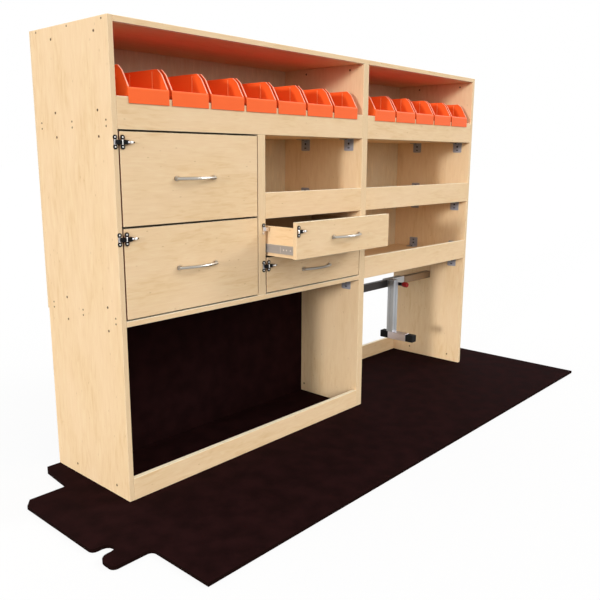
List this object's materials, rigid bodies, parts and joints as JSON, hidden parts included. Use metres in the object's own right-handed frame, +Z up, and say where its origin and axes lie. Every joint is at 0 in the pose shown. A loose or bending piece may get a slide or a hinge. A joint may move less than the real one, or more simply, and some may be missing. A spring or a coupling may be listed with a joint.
{
  "type": "van racking",
  "caption": "Plywood van racking on dark floor boards, with latched drawers, lipped shelves, lift-out picking bins and a sliding load stop.",
  "frame": {"origin": "middle of the bounding box on the underside of the floor boards", "axes": "+X to the right along the front, +Y from the front to the back, +Z up"},
  "size_m": [2.659, 0.97, 1.512],
  "materials": {
    "birch_plywood": "clear-lacquered birch face",
    "drawer_plywood": "plain birch plywood",
    "film_faced_plywood": "smooth dark phenolic film",
    "orange_plastic": "moulded, slightly glossy",
    "satin_chrome": "satin chrome plate",
    "black_steel": "black coating",
    "dark_steel": "dark grey powder coating",
    "aluminium": "satin anodised",
    "black_rubber": "matt black",
    "red_plastic": "red moulded nylon"
  },
  "bodies": {
    "rack": {"back_sheet": "birch_plywood", "bin_shelf_left": "birch_plywood", "bin_shelf_right": "birch_plywood", "drawer_divider": "birch_plywood", "end_panel_left": "birch_plywood", "end_panel_right": "birch_plywood", "floor_board_left": "film_faced_plywood", "floor_board_right": "film_faced_plywood", "kick_board": "birch_plywood", "latch_keeper_centre_lower": "black_steel", "latch_keeper_centre_upper": "black_steel", "latch_keeper_left_lower": "black_steel", "latch_keeper_left_upper": "black_steel", "lower_shelf_left": "birch_plywood", "lower_shelf_right": "birch_plywood", "middle_panel": "birch_plywood", "middle_shelf_centre": "birch_plywood", "middle_shelf_right": "birch_plywood", "rear_floor_rail": "birch_plywood", "stop_rail": "dark_steel", "top_panel": "birch_plywood", "wheel_arch_board": "film_faced_plywood"},
    "drawer_left_lower": {"drawer_front_left_lower": "birch_plywood", "drawer_box_left_lower": "drawer_plywood", "handle_left_lower": "satin_chrome", "latch_base_left_lower": "black_steel"},
    "lever_left_lower": {"latch_lever_left_lower": "satin_chrome"},
    "drawer_left_upper": {"drawer_front_left_upper": "birch_plywood", "drawer_box_left_upper": "drawer_plywood", "handle_left_upper": "satin_chrome", "latch_base_left_upper": "black_steel"},
    "lever_left_upper": {"latch_lever_left_upper": "satin_chrome"},
    "drawer_centre_lower": {"drawer_front_centre_lower": "birch_plywood", "drawer_box_centre_lower": "drawer_plywood", "handle_centre_lower": "satin_chrome", "latch_base_centre_lower": "black_steel"},
    "lever_centre_lower": {"latch_lever_centre_lower": "satin_chrome"},
    "drawer_centre_upper": {"drawer_front_centre_upper": "birch_plywood", "drawer_box_centre_upper": "drawer_plywood", "handle_centre_upper": "satin_chrome", "latch_base_centre_upper": "black_steel"},
    "lever_centre_upper": {"latch_lever_centre_upper": "satin_chrome"},
    "loose_bin_left_1": {"bin_left_1": "orange_plastic"},
    "loose_bin_left_2": {"bin_left_2": "orange_plastic"},
    "loose_bin_left_3": {"bin_left_3": "orange_plastic"},
    "loose_bin_left_4": {"bin_left_4": "orange_plastic"},
    "loose_bin_left_5": {"bin_left_5": "orange_plastic"},
    "loose_bin_left_6": {"bin_left_6": "orange_plastic"},
    "loose_bin_left_7": {"bin_left_7": "orange_plastic"},
    "loose_bin_right_1": {"bin_right_1": "orange_plastic"},
    "loose_bin_right_2": {"bin_right_2": "orange_plastic"},
    "loose_bin_right_3": {"bin_right_3": "orange_plastic"},
    "loose_bin_right_4": {"bin_right_4": "orange_plastic"},
    "loose_bin_right_5": {"bin_right_5": "orange_plastic"},
    "load_stop": {"stop_carriage": "aluminium", "stop_post": "aluminium", "stop_foot": "aluminium", "stop_cap_front": "black_rubber", "stop_cap_rear": "black_rubber"},
    "knob": {"clamp_knob": "red_plastic"}
  },
  "joints": [
    {"name": "drawer_left_lower_slide", "type": "slide", "parent": "rack", "child": "drawer_left_lower", "axis": [0, -1, 0], "range_m": [0, 0.3]},
    {"name": "drawer_left_upper_slide", "type": "slide", "parent": "rack", "child": "drawer_left_upper", "axis": [0, -1, 0], "range_m": [0, 0.3]},
    {"name": "drawer_centre_lower_slide", "type": "slide", "parent": "rack", "child": "drawer_centre_lower", "axis": [0, -1, 0], "range_m": [0, 0.3]},
    {"name": "drawer_centre_upper_slide", "type": "slide", "parent": "rack", "child": "drawer_centre_upper", "axis": [0, -1, 0], "range_m": [-0.15, 0.15]},
    {"name": "latch_left_lower_turn", "type": "hinge", "parent": "drawer_left_lower", "child": "lever_left_lower", "pos_m": [-1.051, 0.0286, 0.8695], "axis": [0, -1, 0], "range_deg": [-90, 0]},
    {"name": "latch_left_upper_turn", "type": "hinge", "parent": "drawer_left_upper", "child": "lever_left_upper", "pos_m": [-1.051, 0.0286, 1.158], "axis": [0, -1, 0], "range_deg": [-90, 0]},
    {"name": "latch_centre_lower_turn", "type": "hinge", "parent": "drawer_centre_lower", "child": "lever_centre_lower", "pos_m": [-0.437, 0.0286, 0.7195], "axis": [0, -1, 0], "range_deg": [-90, 0]},
    {"name": "latch_centre_upper_turn", "type": "hinge", "parent": "drawer_centre_upper", "child": "lever_centre_upper", "pos_m": [-0.437, -0.1214, 0.858], "axis": [0, -1, 0], "range_deg": [-90, 0]},
    {"name": "bin_left_1_lift", "type": "slide", "parent": "rack", "child": "loose_bin_left_1", "axis": [0, 0, 1], "range_m": [0, 0.1]},
    {"name": "bin_left_2_lift", "type": "slide", "parent": "rack", "child": "loose_bin_left_2", "axis": [0, 0, 1], "range_m": [0, 0.1]},
    {"name": "bin_left_3_lift", "type": "slide", "parent": "rack", "child": "loose_bin_left_3", "axis": [0, 0, 1], "range_m": [0, 0.1]},
    {"name": "bin_left_4_lift", "type": "slide", "parent": "rack", "child": "loose_bin_left_4", "axis": [0, 0, 1], "range_m": [0, 0.1]},
    {"name": "bin_left_5_lift", "type": "slide", "parent": "rack", "child": "loose_bin_left_5", "axis": [0, 0, 1], "range_m": [0, 0.1]},
    {"name": "bin_left_6_lift", "type": "slide", "parent": "rack", "child": "loose_bin_left_6", "axis": [0, 0, 1], "range_m": [0, 0.1]},
    {"name": "bin_left_7_lift", "type": "slide", "parent": "rack", "child": "loose_bin_left_7", "axis": [0, 0, 1], "range_m": [0, 0.1]},
    {"name": "bin_right_1_lift", "type": "slide", "parent": "rack", "child": "loose_bin_right_1", "axis": [0, 0, 1], "range_m": [0, 0.1]},
    {"name": "bin_right_2_lift", "type": "slide", "parent": "rack", "child": "loose_bin_right_2", "axis": [0, 0, 1], "range_m": [0, 0.1]},
    {"name": "bin_right_3_lift", "type": "slide", "parent": "rack", "child": "loose_bin_right_3", "axis": [0, 0, 1], "range_m": [0, 0.1]},
    {"name": "bin_right_4_lift", "type": "slide", "parent": "rack", "child": "loose_bin_right_4", "axis": [0, 0, 1], "range_m": [0, 0.1]},
    {"name": "bin_right_5_lift", "type": "slide", "parent": "rack", "child": "loose_bin_right_5", "axis": [0, 0, 1], "range_m": [0, 0.1]},
    {"name": "load_stop_slide", "type": "slide", "parent": "rack", "child": "load_stop", "axis": [1, 0, 0], "range_m": [-0.47, 0.26]},
    {"name": "clamp_knob_turn", "type": "hinge", "parent": "load_stop", "child": "knob", "pos_m": [0.7095, 0.2314, 0.476], "axis": [0, -1, 0], "range_deg": [0, 720]}
  ]
}
